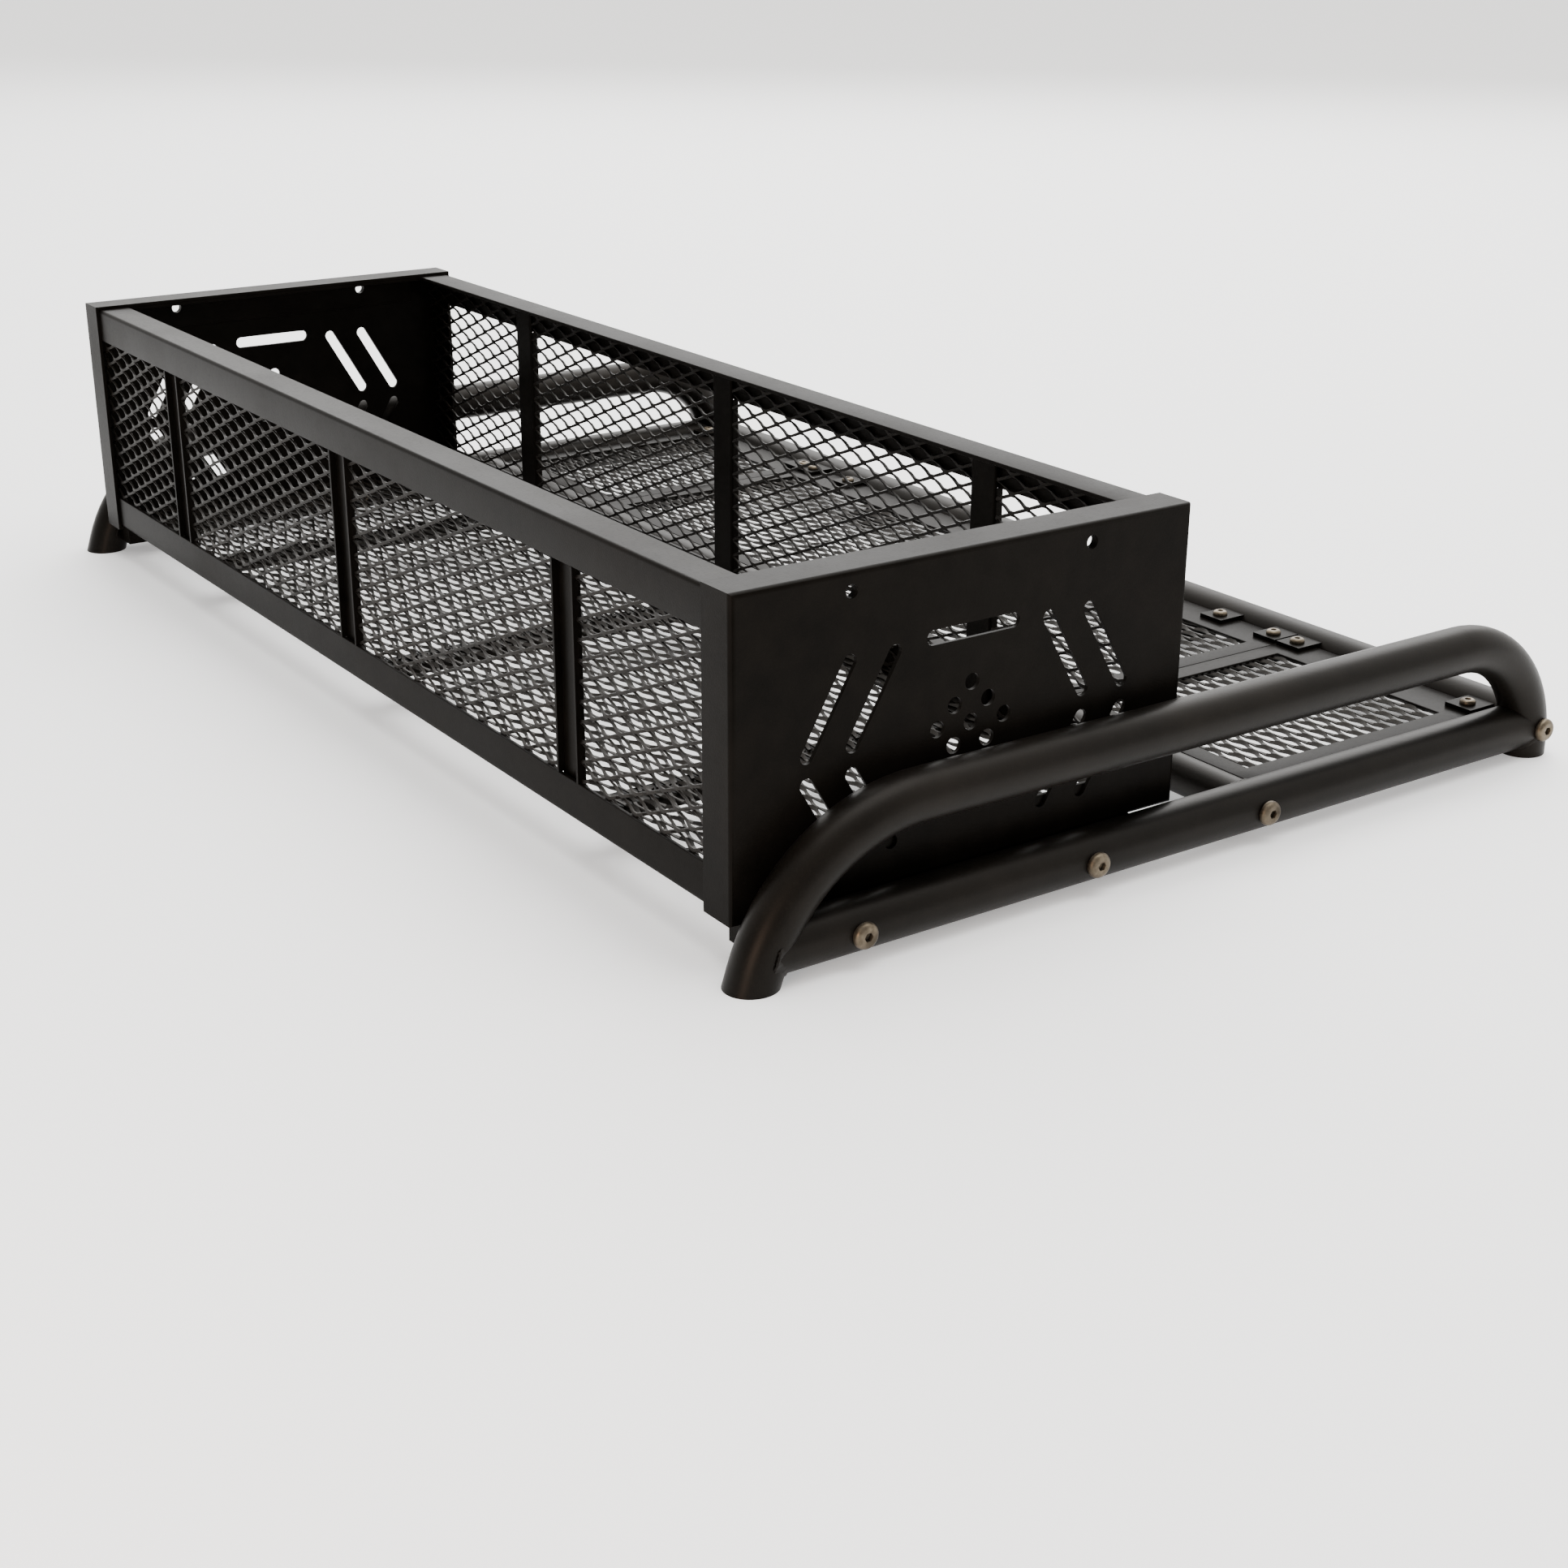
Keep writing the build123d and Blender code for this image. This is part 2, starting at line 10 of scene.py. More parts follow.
import bmesh
import bpy
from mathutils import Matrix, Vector


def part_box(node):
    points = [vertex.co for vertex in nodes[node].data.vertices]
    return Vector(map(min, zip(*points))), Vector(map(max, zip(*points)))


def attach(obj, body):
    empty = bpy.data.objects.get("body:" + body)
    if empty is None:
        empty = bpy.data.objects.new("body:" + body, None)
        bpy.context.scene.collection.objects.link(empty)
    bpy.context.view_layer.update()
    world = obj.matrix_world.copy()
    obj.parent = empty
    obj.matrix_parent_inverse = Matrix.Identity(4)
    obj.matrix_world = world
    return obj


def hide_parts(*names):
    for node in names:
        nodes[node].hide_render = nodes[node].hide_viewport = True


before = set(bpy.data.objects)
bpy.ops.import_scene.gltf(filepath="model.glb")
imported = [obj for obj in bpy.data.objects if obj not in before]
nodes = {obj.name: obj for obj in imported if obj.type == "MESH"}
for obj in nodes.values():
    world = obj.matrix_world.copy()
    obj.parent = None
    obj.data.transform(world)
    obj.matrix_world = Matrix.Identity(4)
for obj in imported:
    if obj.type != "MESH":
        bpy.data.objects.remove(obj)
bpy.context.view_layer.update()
MM = 0.001

# %% [markdown]
# ## Camera
# The camera comes first, because every later choice is judged through it. It
# stands behind the rack's right corner, a little above the basket's rim.

# %% Place the camera
bpy.ops.object.camera_add(
    location=(1.4406, -0.9407, 0.5722),
    rotation=(radians(67.963), radians(-0.238), radians(55.445)),
)
camera = bpy.context.object
camera.data.sensor_width = 36.0
camera.data.lens = 53.03
camera.data.clip_end = 50.0
bpy.context.scene.camera = camera

# %% [markdown]
# ## Working by hand, in code
# A modeller selects a face, then extrudes, bevels or cuts it. These helpers do
# the same: they deselect everything, open edit mode, and pick vertices, edges or
# faces by where they are or which way they face.

# %% Selecting and finishing
def deselect():
    if bpy.context.object and bpy.context.object.mode == "EDIT":
        bpy.ops.object.mode_set(mode="OBJECT")
    bpy.ops.object.select_all(action="DESELECT")


def edit(piece, mode="FACE"):
    deselect()
    piece.select_set(True)
    bpy.context.view_layer.objects.active = piece
    bpy.ops.object.mode_set(mode="EDIT")
    bpy.ops.mesh.select_mode(type=mode)
    bpy.ops.mesh.select_all(action="DESELECT")


def pick(piece, test, mode="FACE"):
    """Selects what the test says yes to: a face by centre and normal, an edge by its ends."""
    bpy.ops.mesh.select_mode(type=mode)
    bpy.ops.mesh.select_all(action="DESELECT")
    mesh = bmesh.from_edit_mesh(piece.data)
    mesh.normal_update()
    count = 0
    if mode == "FACE":
        for face in mesh.faces:
            if test(face.calc_center_median(), face.normal):
                face.select_set(True)
                count += 1
    elif mode == "EDGE":
        for edge in mesh.edges:
            if test(edge.verts[0].co, edge.verts[1].co):
                edge.select_set(True)
                count += 1
    else:
        for vert in mesh.verts:
            if test(vert.co):
                vert.select_set(True)
                count += 1
    mesh.select_flush_mode()
    bmesh.update_edit_mesh(piece.data)
    return count


def extrude(move):
    bpy.ops.mesh.extrude_region_move(TRANSFORM_OT_translate={"value": move})


def bevel(width, segments=2):
    bpy.ops.mesh.bevel(offset=width, segments=segments, affect="EDGES", clamp_overlap=True)


def settle(piece):
    """Leaves edit mode and puts the piece's place, turn and size into its mesh."""
    deselect()
    piece.select_set(True)
    bpy.context.view_layer.objects.active = piece
    bpy.ops.object.transform_apply(location=True, rotation=True, scale=True)


def face_outward(piece):
    edit(piece)
    bpy.ops.mesh.select_all(action="SELECT")
    bpy.ops.mesh.normals_make_consistent(inside=False)
    settle(piece)


def use_modifier(piece, kind, **settings):
    """Adds a modifier and applies it at once."""
    settle(piece)
    modifier = piece.modifiers.new(kind.title(), kind)
    for name, value in settings.items():
        setattr(modifier, name, value)
    bpy.ops.object.modifier_apply(modifier=modifier.name)


def smooth(piece, angle=40):
    settle(piece)
    bpy.ops.object.shade_smooth_by_angle(angle=radians(angle))


def block(name, low, high):
    """A box between two corners: where many of the pieces start."""
    low, high = Vector(low), Vector(high)
    deselect()
    bpy.ops.mesh.primitive_cube_add(size=1, location=(low + high) / 2)
    piece = bpy.context.object
    piece.name = name
    piece.scale = high - low
    settle(piece)
    return piece


def join(parts, name):
    deselect()
    for part in parts:
        part.select_set(True)
    bpy.context.view_layer.objects.active = parts[0]
    bpy.ops.object.join()
    piece = bpy.context.object
    piece.name = name
    settle(piece)
    return piece


def twin(piece, name):
    """A copy with its own mesh."""
    deselect()
    piece.select_set(True)
    bpy.context.view_layer.objects.active = piece
    bpy.ops.object.duplicate()
    copy = bpy.context.object
    copy.name = name
    return copy


# %% [markdown]
# ## Shader expressions
# A material that is written as sums and products is easier to read than a list
# of links. A small class wraps a node's socket, and each operator adds one Math
# node to the material.

# %% Sockets that can be added and multiplied
class Socket:
    def __init__(self, tree, socket):
        self.tree = tree
        self.socket = socket

    def node(self, kind, settings=None, output=0, **inputs):
        made = self.tree.nodes.new(kind)
        for name, value in (settings or {}).items():
            setattr(made, name, value)
        for name, value in inputs.items():
            numbered = name[0] == "i" and name[1:].isdigit()
            place = int(name[1:]) if numbered else name.replace("_", " ")
            if isinstance(value, Socket):
                self.tree.links.new(value.socket, made.inputs[place])
            else:
                made.inputs[place].default_value = value
        return Socket(self.tree, made.outputs[output])

    def maths(self, operation, first, second=0.0):
        return self.node("ShaderNodeMath", {"operation": operation}, i0=first, i1=second)

    def __add__(self, other):
        return self.maths("ADD", self, other)

    __radd__ = __add__

    def __sub__(self, other):
        return self.maths("SUBTRACT", self, other)

    def __rsub__(self, other):
        return self.maths("SUBTRACT", other, self)

    def __mul__(self, other):
        return self.maths("MULTIPLY", self, other)

    __rmul__ = __mul__

    def clamp(self, low, high):
        return self.node(
            "ShaderNodeMapRange", {"clamp": True}, Value=self,
            From_Min=low, From_Max=high, To_Min=0.0, To_Max=1.0,
        )

    def noise(self, scale, detail=3.0, roughness=0.5):
        return self.node(
            "ShaderNodeTexNoise", Vector=self, Scale=scale, Detail=detail, Roughness=roughness
        )

    def mix(self, first, second):
        """This value blends from the first colour to the second."""
        made = self.tree.nodes.new("ShaderNodeMix")
        made.data_type = "RGBA"
        self.tree.links.new(self.socket, made.inputs["Factor"])
        for place, value in ((6, first), (7, second)):
            if isinstance(value, Socket):
                self.tree.links.new(value.socket, made.inputs[place])
            else:
                made.inputs[place].default_value = (*value, 1.0)
        return Socket(self.tree, made.outputs[2])

    def bump(self, strength, distance):
        return self.node("ShaderNodeBump", Height=self, Strength=strength, Distance=distance, output=0)


def new_material(name, **fixed):
    """A material, its place on the piece as a socket, and its shader."""
    material = bpy.data.materials.new(name)
    material.use_nodes = True
    tree = material.node_tree
    shader = tree.nodes["Principled BSDF"]
    for key, value in fixed.items():
        shader.inputs[key.replace("_", " ")].default_value = value
    coordinates = tree.nodes.new("ShaderNodeTexCoord")
    return material, Socket(tree, coordinates.outputs["Object"]), shader


def feed(shader, **links):
    for key, value in links.items():
        value.tree.links.new(value.socket, shader.inputs[key.replace("_", " ")])


# %% [markdown]
# ## Finishes
# Powder coat is a baked plastic skin. It is satin rather than glossy, it has a
# fine pebbled surface that is called orange peel, and a thin film of dust makes
# it browner and duller in patches.

# %% Black powder coat
def powder_coat(name, peel_scale, peel_depth, dust_share, dull=0.0, shine=0.25):
    material, place, shader = new_material(
        name, Specular_IOR_Level=shine, IOR=1.5, Specular_Tint=(1.0, 0.93, 0.85, 1.0)
    )
    patches = place.noise(9.0, 4.0, 0.55).clamp(0.42, 0.72)
    speckle = place.noise(420.0, 2.0, 0.6).clamp(0.52, 0.78)
    dust = patches * dust_share + speckle * (dust_share * 0.35)
    cloud = place.noise(55.0, 3.0).clamp(0.3, 0.7)
    paint = cloud.mix((0.0022, 0.0019, 0.0015), (0.0038, 0.0032, 0.0026))
    colour = dust.mix(paint, (0.085, 0.066, 0.050))
    peel = place.noise(peel_scale, 2.0, 0.45)
    waves = place.noise(peel_scale * 0.12, 2.0, 0.5)
    height = peel * 0.7 + waves * 0.6
    rough = patches * 0.07 + (speckle * 0.05 + (0.37 + dull))
    feed(shader, Base_Color=colour, Roughness=rough, Normal=height.bump(0.5, peel_depth))
    return material


tube_coat = powder_coat("satin_black_tube", 900.0, 0.00012, 0.04, 0.0, 0.10)
sheet_coat = powder_coat("satin_black_sheet", 1000.0, 0.00016, 0.02, -0.03, 0.03)
mesh_coat = powder_coat("satin_black_mesh", 1300.0, 0.00010, 0.06, 0.08, 0.15)
print("powder coats:", tube_coat.name, sheet_coat.name, mesh_coat.name)

# %% [markdown]
# The bolts are steel under a yellowish zinc plate that has gone dull, so their
# colour is a mottled bronze. The threaded plugs are turned steel with fine rings
# and the leg plugs are moulded plastic with a soft grain.

# %% Bolts, turned steel and plastic
def bronze_zinc():
    material, place, shader = new_material("bronze_zinc_plate", Metallic=0.85)
    mottle = place.noise(260.0, 5.0, 0.6).clamp(0.35, 0.7)
    stain = place.noise(70.0, 3.0).clamp(0.45, 0.75)
    colour = stain.mix(mottle.mix((0.085, 0.068, 0.046), (0.16, 0.132, 0.094)), (0.035, 0.027, 0.018))
    feed(
        shader, Base_Color=colour, Roughness=mottle * 0.14 + (stain * 0.15 + 0.36),
        Normal=place.noise(1500.0, 2.0).bump(0.35, 0.00008),
    )
    return material


def turned_steel():
    material, place, shader = new_material("turned_steel", Metallic=1.0)
    rings = place.node(
        "ShaderNodeTexWave", {"bands_direction": "X"}, output=1,
        Vector=place, Scale=600.0, Distortion=1.5,
    )
    tone = place.noise(120.0).clamp(0.3, 0.7)
    feed(
        shader, Base_Color=tone.mix((0.30, 0.30, 0.29), (0.46, 0.45, 0.44)),
        Roughness=tone * 0.15 + 0.28, Normal=rings.bump(0.2, 0.00005),
    )
    return material


def moulded_plastic():
    material, place, shader = new_material("moulded_black_plastic")
    grain = place.noise(1600.0, 3.0)
    scuff = place.noise(90.0, 4.0).clamp(0.5, 0.8)
    feed(
        shader, Base_Color=scuff.mix((0.012, 0.012, 0.012), (0.06, 0.056, 0.05)),
        Roughness=scuff * 0.15 + 0.55, Normal=grain.bump(0.4, 0.00010),
    )
    return material


bolt_finish, steel_finish, plastic_finish = bronze_zinc(), turned_steel(), moulded_plastic()


# %% [markdown]
# Every finished piece is painted, the imported nodes that it stands for are
# hidden, and it rides on the rack's one body.

# %% Paint a piece and give it its place
def paint(piece, material):
    piece.data.materials.clear()
    piece.data.materials.append(material)


def place(piece, material, slot, *stands_for):
    paint(piece, material)
    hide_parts(*stands_for)
    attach(piece, "root")


# %% [markdown]
# ## Side hoops
# Each hoop is one length of round tube with two bends. A circle drawn at the
# rear foot is extruded up the leaning leg, spun through the first bend, extruded
# along the top, and spun again down the front leg. Spin is used because a real
# bend is exactly that: the tube turning round a former.

# %% Sizes of the tubes
TUBE_SIDES = 48
WALL = 2.0 * MM
REAR_LEAN = radians(18.0)
REAR_BEND = 115.0 * MM
FRONT_BEND = 80.0 * MM
hoop_low, hoop_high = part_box("right_side_hoop")
rail_low, rail_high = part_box("right_lower_rail")
tube_radius = (hoop_high.x - hoop_low.x) / 2
side_x = (hoop_high.x + hoop_low.x) / 2
hoop_z = hoop_high.z - tube_radius
rail_z = (rail_low.z + rail_high.z) / 2
rear_foot_y = hoop_low.y + tube_radius / cos(REAR_LEAN)
front_leg_y = hoop_high.y - tube_radius
print("tube radius", round(tube_radius, 5), "top tube height", round(hoop_z, 4))


# %% Bend a hoop
def ring(name, centre, radius, turn, sides=TUBE_SIDES):
    deselect()
    bpy.ops.mesh.primitive_circle_add(vertices=sides, radius=radius, location=centre, rotation=turn)
    piece = bpy.context.object
    piece.name = name
    settle(piece)
    edit(piece, "VERT")
    bpy.ops.mesh.select_all(action="SELECT")
    return piece


def spin(angle, steps, centre):
    bpy.ops.mesh.spin(steps=steps, angle=angle, center=centre, axis=(1, 0, 0), use_auto_merge=False)


def side_hoop(side):
    name = "right" if side > 0 else "left"
    x = side * side_x
    drop = 30 * MM
    start = Vector((x, rear_foot_y - drop * tan(REAR_LEAN), -drop))
    up = Vector((0, sin(REAR_LEAN), cos(REAR_LEAN)))
    bend_turn = pi / 2 - REAR_LEAN
    cut_back = REAR_BEND * tan(bend_turn / 2)
    corner = start + up * ((hoop_z + drop) / cos(REAR_LEAN))
    piece = ring(f"{name}_hoop_tube", start, tube_radius, (-REAR_LEAN, 0, 0))
    extrude(corner - up * cut_back - start)
    rear_centre = (x, corner.y + cut_back, hoop_z - REAR_BEND)
    spin(bend_turn, 18, rear_centre)
    extrude((0, front_leg_y - FRONT_BEND - corner.y - cut_back, 0))
    spin(pi / 2, 20, (x, front_leg_y - FRONT_BEND, hoop_z - FRONT_BEND))
    extrude((0, 0, FRONT_BEND - hoop_z))
    bpy.ops.mesh.select_all(action="SELECT")
    bpy.ops.mesh.remove_doubles(threshold=0.01 * MM)
    bpy.ops.mesh.select_all(action="SELECT")
    bpy.ops.mesh.bisect(plane_co=(0, 0, 0), plane_no=(0, 0, 1), clear_inner=True, threshold=1e-6)
    face_outward(piece)
    use_modifier(piece, "SOLIDIFY", thickness=WALL, offset=-1, use_even_offset=True)
    edit(piece, "VERT")
    pick(piece, lambda point: point.z < WALL / 2, "VERT")
    bpy.ops.transform.resize(value=(1, 1, 0), center_override=(0, 0, 0))
    smooth(piece)
    place(piece, tube_coat, "black_powder_coat", f"{name}_side_hoop")
    return piece


hoops = [side_hoop(1), side_hoop(-1)]
print("hoop spans", [round(v, 4) for v in hoops[0].dimensions])

# %% [markdown]
# ## Straight tubes
# The lower rails and the cross tubes are straight. Their ends are cut to fit
# round the tube that they meet, and inside the joint that cut can't be seen, so
# each is an extruded ring that stops inside its neighbour.

# %% Straight tubes
def straight_tube(node, start, end, radius):
    start, end = Vector(start), Vector(end)
    along = end - start
    turn = (0, pi / 2, 0) if abs(along.x) > abs(along.y) else (pi / 2, 0, 0)
    piece = ring(f"{node}_steel", start, radius, turn)
    extrude(along)
    face_outward(piece)
    use_modifier(piece, "SOLIDIFY", thickness=WALL, offset=-1)
    smooth(piece)
    place(piece, tube_coat, "black_powder_coat", node)


rail_start_y = rear_foot_y + rail_z * tan(REAR_LEAN)
for side, name in ((1, "right"), (-1, "left")):
    straight_tube(
        f"{name}_lower_rail", (side * side_x, rail_start_y, rail_z),
        (side * side_x, front_leg_y, rail_z), tube_radius,
    )
for name in ("middle_cross_tube", "front_cross_tube"):
    low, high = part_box(name)
    centre_y, radius = (low.y + high.y) / 2, (high.z - low.z) / 2
    straight_tube(name, (-side_x, centre_y, rail_z), (side_x, centre_y, rail_z), radius)

# %% [markdown]
# The joints are welded all round. A weld follows the saddle-shaped line where one
# tube meets another, and it sets in small ripples as the torch moves. A torus
# gives the ripple's round section, and its points are slid along the tube until
# they lie on the neighbour, because no operator knows that curve.

# %% Lay the weld beads
BEAD = 1.5 * MM
RIPPLES = 34


def weld_bead(name, centre, tube, neighbour, axis, toward, lean=0.0):
    """A bead round a tube's end, on a neighbour that stands along Z or lies along Y."""
    deselect()
    turn = (0, pi / 2, 0) if axis == "x" else (pi / 2, 0, 0)
    bpy.ops.mesh.primitive_torus_add(
        major_radius=tube, minor_radius=BEAD, major_segments=102, minor_segments=8,
        location=centre, rotation=turn,
    )
    piece = bpy.context.object
    piece.name = name
    settle(piece)
    for vertex in piece.data.vertices:
        off = vertex.co - Vector(centre)
        across = off.x if axis == "y" else off.z
        depth = max(neighbour**2 - across**2, 0) ** 0.5
        ripple = 0.18 * BEAD * sin(RIPPLES * atan2(off.z, off.x + off.y))
        slide = toward * (depth / cos(lean) + ripple)
        if axis == "y":
            vertex.co.y += slide + off.z * tan(lean)
        else:
            vertex.co.x += slide
    smooth(piece, 60)
    return piece


beads = []
for side in (1, -1):
    x = side * side_x
    rear_joint = (x, rail_start_y, rail_z)
    beads.append(weld_bead("bead", rear_joint, tube_radius, tube_radius, "y", 1, REAR_LEAN))
    beads.append(weld_bead("bead", (x, front_leg_y, rail_z), tube_radius, tube_radius, "y", -1))
    low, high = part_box("middle_cross_tube")
    centre = (x, (low.y + high.y) / 2, rail_z)
    beads.append(weld_bead("bead", centre, (high.z - low.z) / 2, tube_radius, "x", -side))
welds = join(beads, "tube_welds")
place(welds, tube_coat, "black_powder_coat")

# %% [markdown]
# ## Angle rails
# The basket's frame is angle bar: two legs at a right angle, with a rounded heel
# outside, a fillet inside and softened toes. A flat strip is cut near one edge,
# the narrow part is extruded down into the second leg, and the edges are
# bevelled by their place.

# %% Model an angle bar along X with its heel at the origin
LEG = 25.4 * MM
BAR = 3.0 * MM
NEAR = 0.05 * MM


def same_line(first, second, y, z):
    return all(abs(p.y - y) < NEAR and abs(p.z - z) < NEAR for p in (first, second))


def angle_bar(name, length):
    piece = block(name, (-length / 2, 0, -BAR), (length / 2, LEG, 0))
    edit(piece)
    bpy.ops.mesh.select_all(action="SELECT")
    bpy.ops.mesh.bisect(plane_co=(0, BAR, 0), plane_no=(0, 1, 0))
    pick(piece, lambda centre, normal: normal.z < -0.9 and centre.y < BAR)
    extrude((0, 0, BAR - LEG))
    pick(piece, lambda a, b: same_line(a, b, 0, 0), "EDGE")
    bevel(2.4 * MM, 5)
    pick(piece, lambda a, b: same_line(a, b, BAR, -BAR), "EDGE")
    bevel(2.0 * MM, 3)
    toes = ((LEG, 0), (LEG, -BAR), (0, -LEG), (BAR, -LEG))
    pick(piece, lambda a, b: any(same_line(a, b, y, z) for y, z in toes), "EDGE")
    bevel(0.7 * MM, 2)
    smooth(piece, 35)
    return piece


def put_bar(node, turn_x, turn_z, heel):
    low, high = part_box(node)
    length = max(high.x - low.x, high.y - low.y)
    piece = angle_bar(f"{node}_bar", length)
    piece.rotation_euler = (turn_x, 0, turn_z)
    piece.location = heel
    settle(piece)
    place(piece, sheet_coat, "black_powder_coat", node)


# %% Put the eight angle bars in place
END_HOLE, END_HOLE_OFFSET, END_HOLE_DROP = 8 * MM, 85 * MM, 11.5 * MM


def drill_end_bar(side, name):
    """The two holes near the basket's top edge go through this bar too."""
    piece = bpy.data.objects[f"{name}_end_top_rail_bar"]
    low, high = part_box(f"{name}_end_plate")
    tools = []
    for hand in (-1, 1):
        deselect()
        bpy.ops.mesh.primitive_cylinder_add(
            vertices=32, radius=END_HOLE / 2, depth=8 * BAR, rotation=(0, pi / 2, 0),
            location=(
                high.x if side > 0 else low.x,
                (low.y + high.y) / 2 + hand * END_HOLE_OFFSET, high.z - END_HOLE_DROP,
            ),
        )
        tools.append(bpy.context.object)
    tool = join(tools, "drill")
    use_modifier(piece, "BOOLEAN", object=tool, operation="DIFFERENCE", solver="EXACT")
    bpy.data.objects.remove(tool)


for wall, turns in (("rear", {"top": 0, "bottom": pi / 2}), ("front", {"top": -pi / 2, "bottom": pi})):
    for level, turn_x in turns.items():
        low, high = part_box(f"{wall}_{level}_rail")
        heel_y = low.y if wall == "rear" else high.y
        heel_z = high.z if level == "top" else low.z
        put_bar(f"{wall}_{level}_rail", turn_x, 0, (0, heel_y, heel_z))
for side, name in ((1, "right"), (-1, "left")):
    for level, turn_x in (("top", 0), ("bottom", pi / 2)):
        low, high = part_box(f"{name}_end_{level}_rail")
        heel_x = high.x if side > 0 else low.x
        heel_z = high.z if level == "top" else low.z
        put_bar(
            f"{name}_end_{level}_rail", turn_x, side * pi / 2,
            (heel_x, (low.y + high.y) / 2, heel_z),
        )
    drill_end_bar(side, name)
print("eight angle bars made")

# %% [markdown]
# ## Dividers and floor ribs
# Each is a shallow channel. A flat web gets two cuts beside its edges, and the
# strips outside the cuts are extruded into lips, as a press brake would fold
# them. The outer corners are rounded like a fold.

# %% Model a channel along Z with its web toward +Y
SHEET = 2.0 * MM


def channel(name, width, depth, length, lip_start, lip_end):
    """The lips run only between two heights, because the rails cover the ends."""
    half = width / 2
    piece = block(name, (-half, -SHEET, 0), (half, 0, length))
    edit(piece)
    cuts = [((x, 0, 0), (1, 0, 0)) for x in (-half + SHEET, half - SHEET)]
    cuts += [((0, 0, z), (0, 0, 1)) for z in (lip_start, lip_end) if 0 < z < length]
    for place_of_cut, across in cuts:
        bpy.ops.mesh.select_all(action="SELECT")
        bpy.ops.mesh.bisect(plane_co=place_of_cut, plane_no=across)
    pick(
        piece,
        lambda centre, normal: normal.y < -0.9 and abs(centre.x) > half - SHEET
        and lip_start <= centre.z <= lip_end,
    )
    extrude((0, SHEET - depth, 0))
    pick(
        piece,
        lambda a, b: abs(abs(a.x) - half) < NEAR and abs(a.x - b.x) < NEAR
        and abs(a.y) < NEAR and abs(b.y) < NEAR, "EDGE",
    )
    bevel(1.8 * MM, 4)
    smooth(piece, 35)
    return piece


# %% Put the dividers and ribs in place
rail_span_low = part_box("rear_bottom_rail")[0].z + LEG
rail_span_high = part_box("rear_top_rail")[1].z - LEG
for name in ("left", "centre", "right"):
    for wall in ("rear", "front"):
        low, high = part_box(f"{wall}_{name}_divider")
        piece = channel(
            f"{wall}_{name}_post", high.x - low.x, high.y - low.y, high.z - low.z,
            rail_span_low - low.z, rail_span_high - low.z,
        )
        web_y = high.y if wall == "rear" else low.y
        piece.rotation_euler = (0, 0, 0 if wall == "rear" else pi)
        piece.location = ((low.x + high.x) / 2, web_y, low.z)
        settle(piece)
        place(piece, sheet_coat, "black_powder_coat", f"{wall}_{name}_divider")
    low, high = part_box(f"floor_{name}_rib")
    length = high.y - low.y
    piece = channel(f"floor_{name}_channel", high.x - low.x, high.z - low.z, length, 0, length)
    piece.rotation_euler = (pi / 2, 0, 0)
    piece.location = ((low.x + high.x) / 2, high.y, high.z)
    settle(piece)
    place(piece, sheet_coat, "black_powder_coat", f"floor_{name}_rib")

# %% [markdown]
# ## End plates
# A press folds one sheet into a shallow pan. A box gets rounded edges on its
# outer face, its inner face is deleted, and Solidify gives it the sheet's
# thickness inward. Then Boolean takes out the laser-cut holes: two round holes,
# eight slanted slots, a plain slot where a name would be, and a diamond of holes.

# %% Cutters for the holes
PLATE = 2.5 * MM
FOLD = 3.5 * MM
HOLE_DEPTH = 30 * MM
plate_low, plate_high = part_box("right_end_plate")
plate_mid_y = (plate_low.y + plate_high.y) / 2


def hole_cutter(side, y, z, width, length=0.0, tilt=0.0):
    """A round bar across the plate, stretched into a slot when it has a length."""
    face_x = side * plate_high.x
    deselect()
    bpy.ops.mesh.primitive_cylinder_add(
        vertices=32, radius=width / 2, depth=HOLE_DEPTH, location=(0, 0, 0),
        rotation=(0, pi / 2, 0),
    )
    cutter = bpy.context.object
    settle(cutter)
    if length > width:
        edit(cutter, "VERT")
        for end in (1, -1):
            pick(cutter, lambda point: point.y * end > NEAR, "VERT")
            bpy.ops.transform.translate(value=(0, end * (length - width) / 2, 0))
    settle(cutter)
    cutter.rotation_euler = (tilt, 0, 0)
    cutter.location = (face_x, plate_mid_y + y, plate_low.z + z)
    settle(cutter)
    return cutter


def slot_between(side, first, second, width):
    run = Vector((second[0] - first[0], second[1] - first[1]))
    middle = ((first[0] + second[0]) / 2, (first[1] + second[1]) / 2)
    return hole_cutter(side, *middle, width, run.length + width, atan2(run.y, run.x))


# %% Fold and cut an end plate
SLOT_WIDTH = 8.7 * MM
SLOT_INNER, SLOT_SPREAD, SLOT_STEP = 55 * MM, 28 * MM, 30.5 * MM
UPPER_TOP, UPPER_LOW, LOWER_HIGH, LOWER_BOTTOM = 139 * MM, 90 * MM, 73 * MM, 26 * MM
LABEL_HEIGHT, LABEL_WIDTH, LABEL_LENGTH = 142 * MM, 9 * MM, 66 * MM
VENT_HEIGHT, VENT_PITCH, VENT_WIDTH = 87 * MM, 17 * MM, 10 * MM
plate_height = plate_high.z - plate_low.z


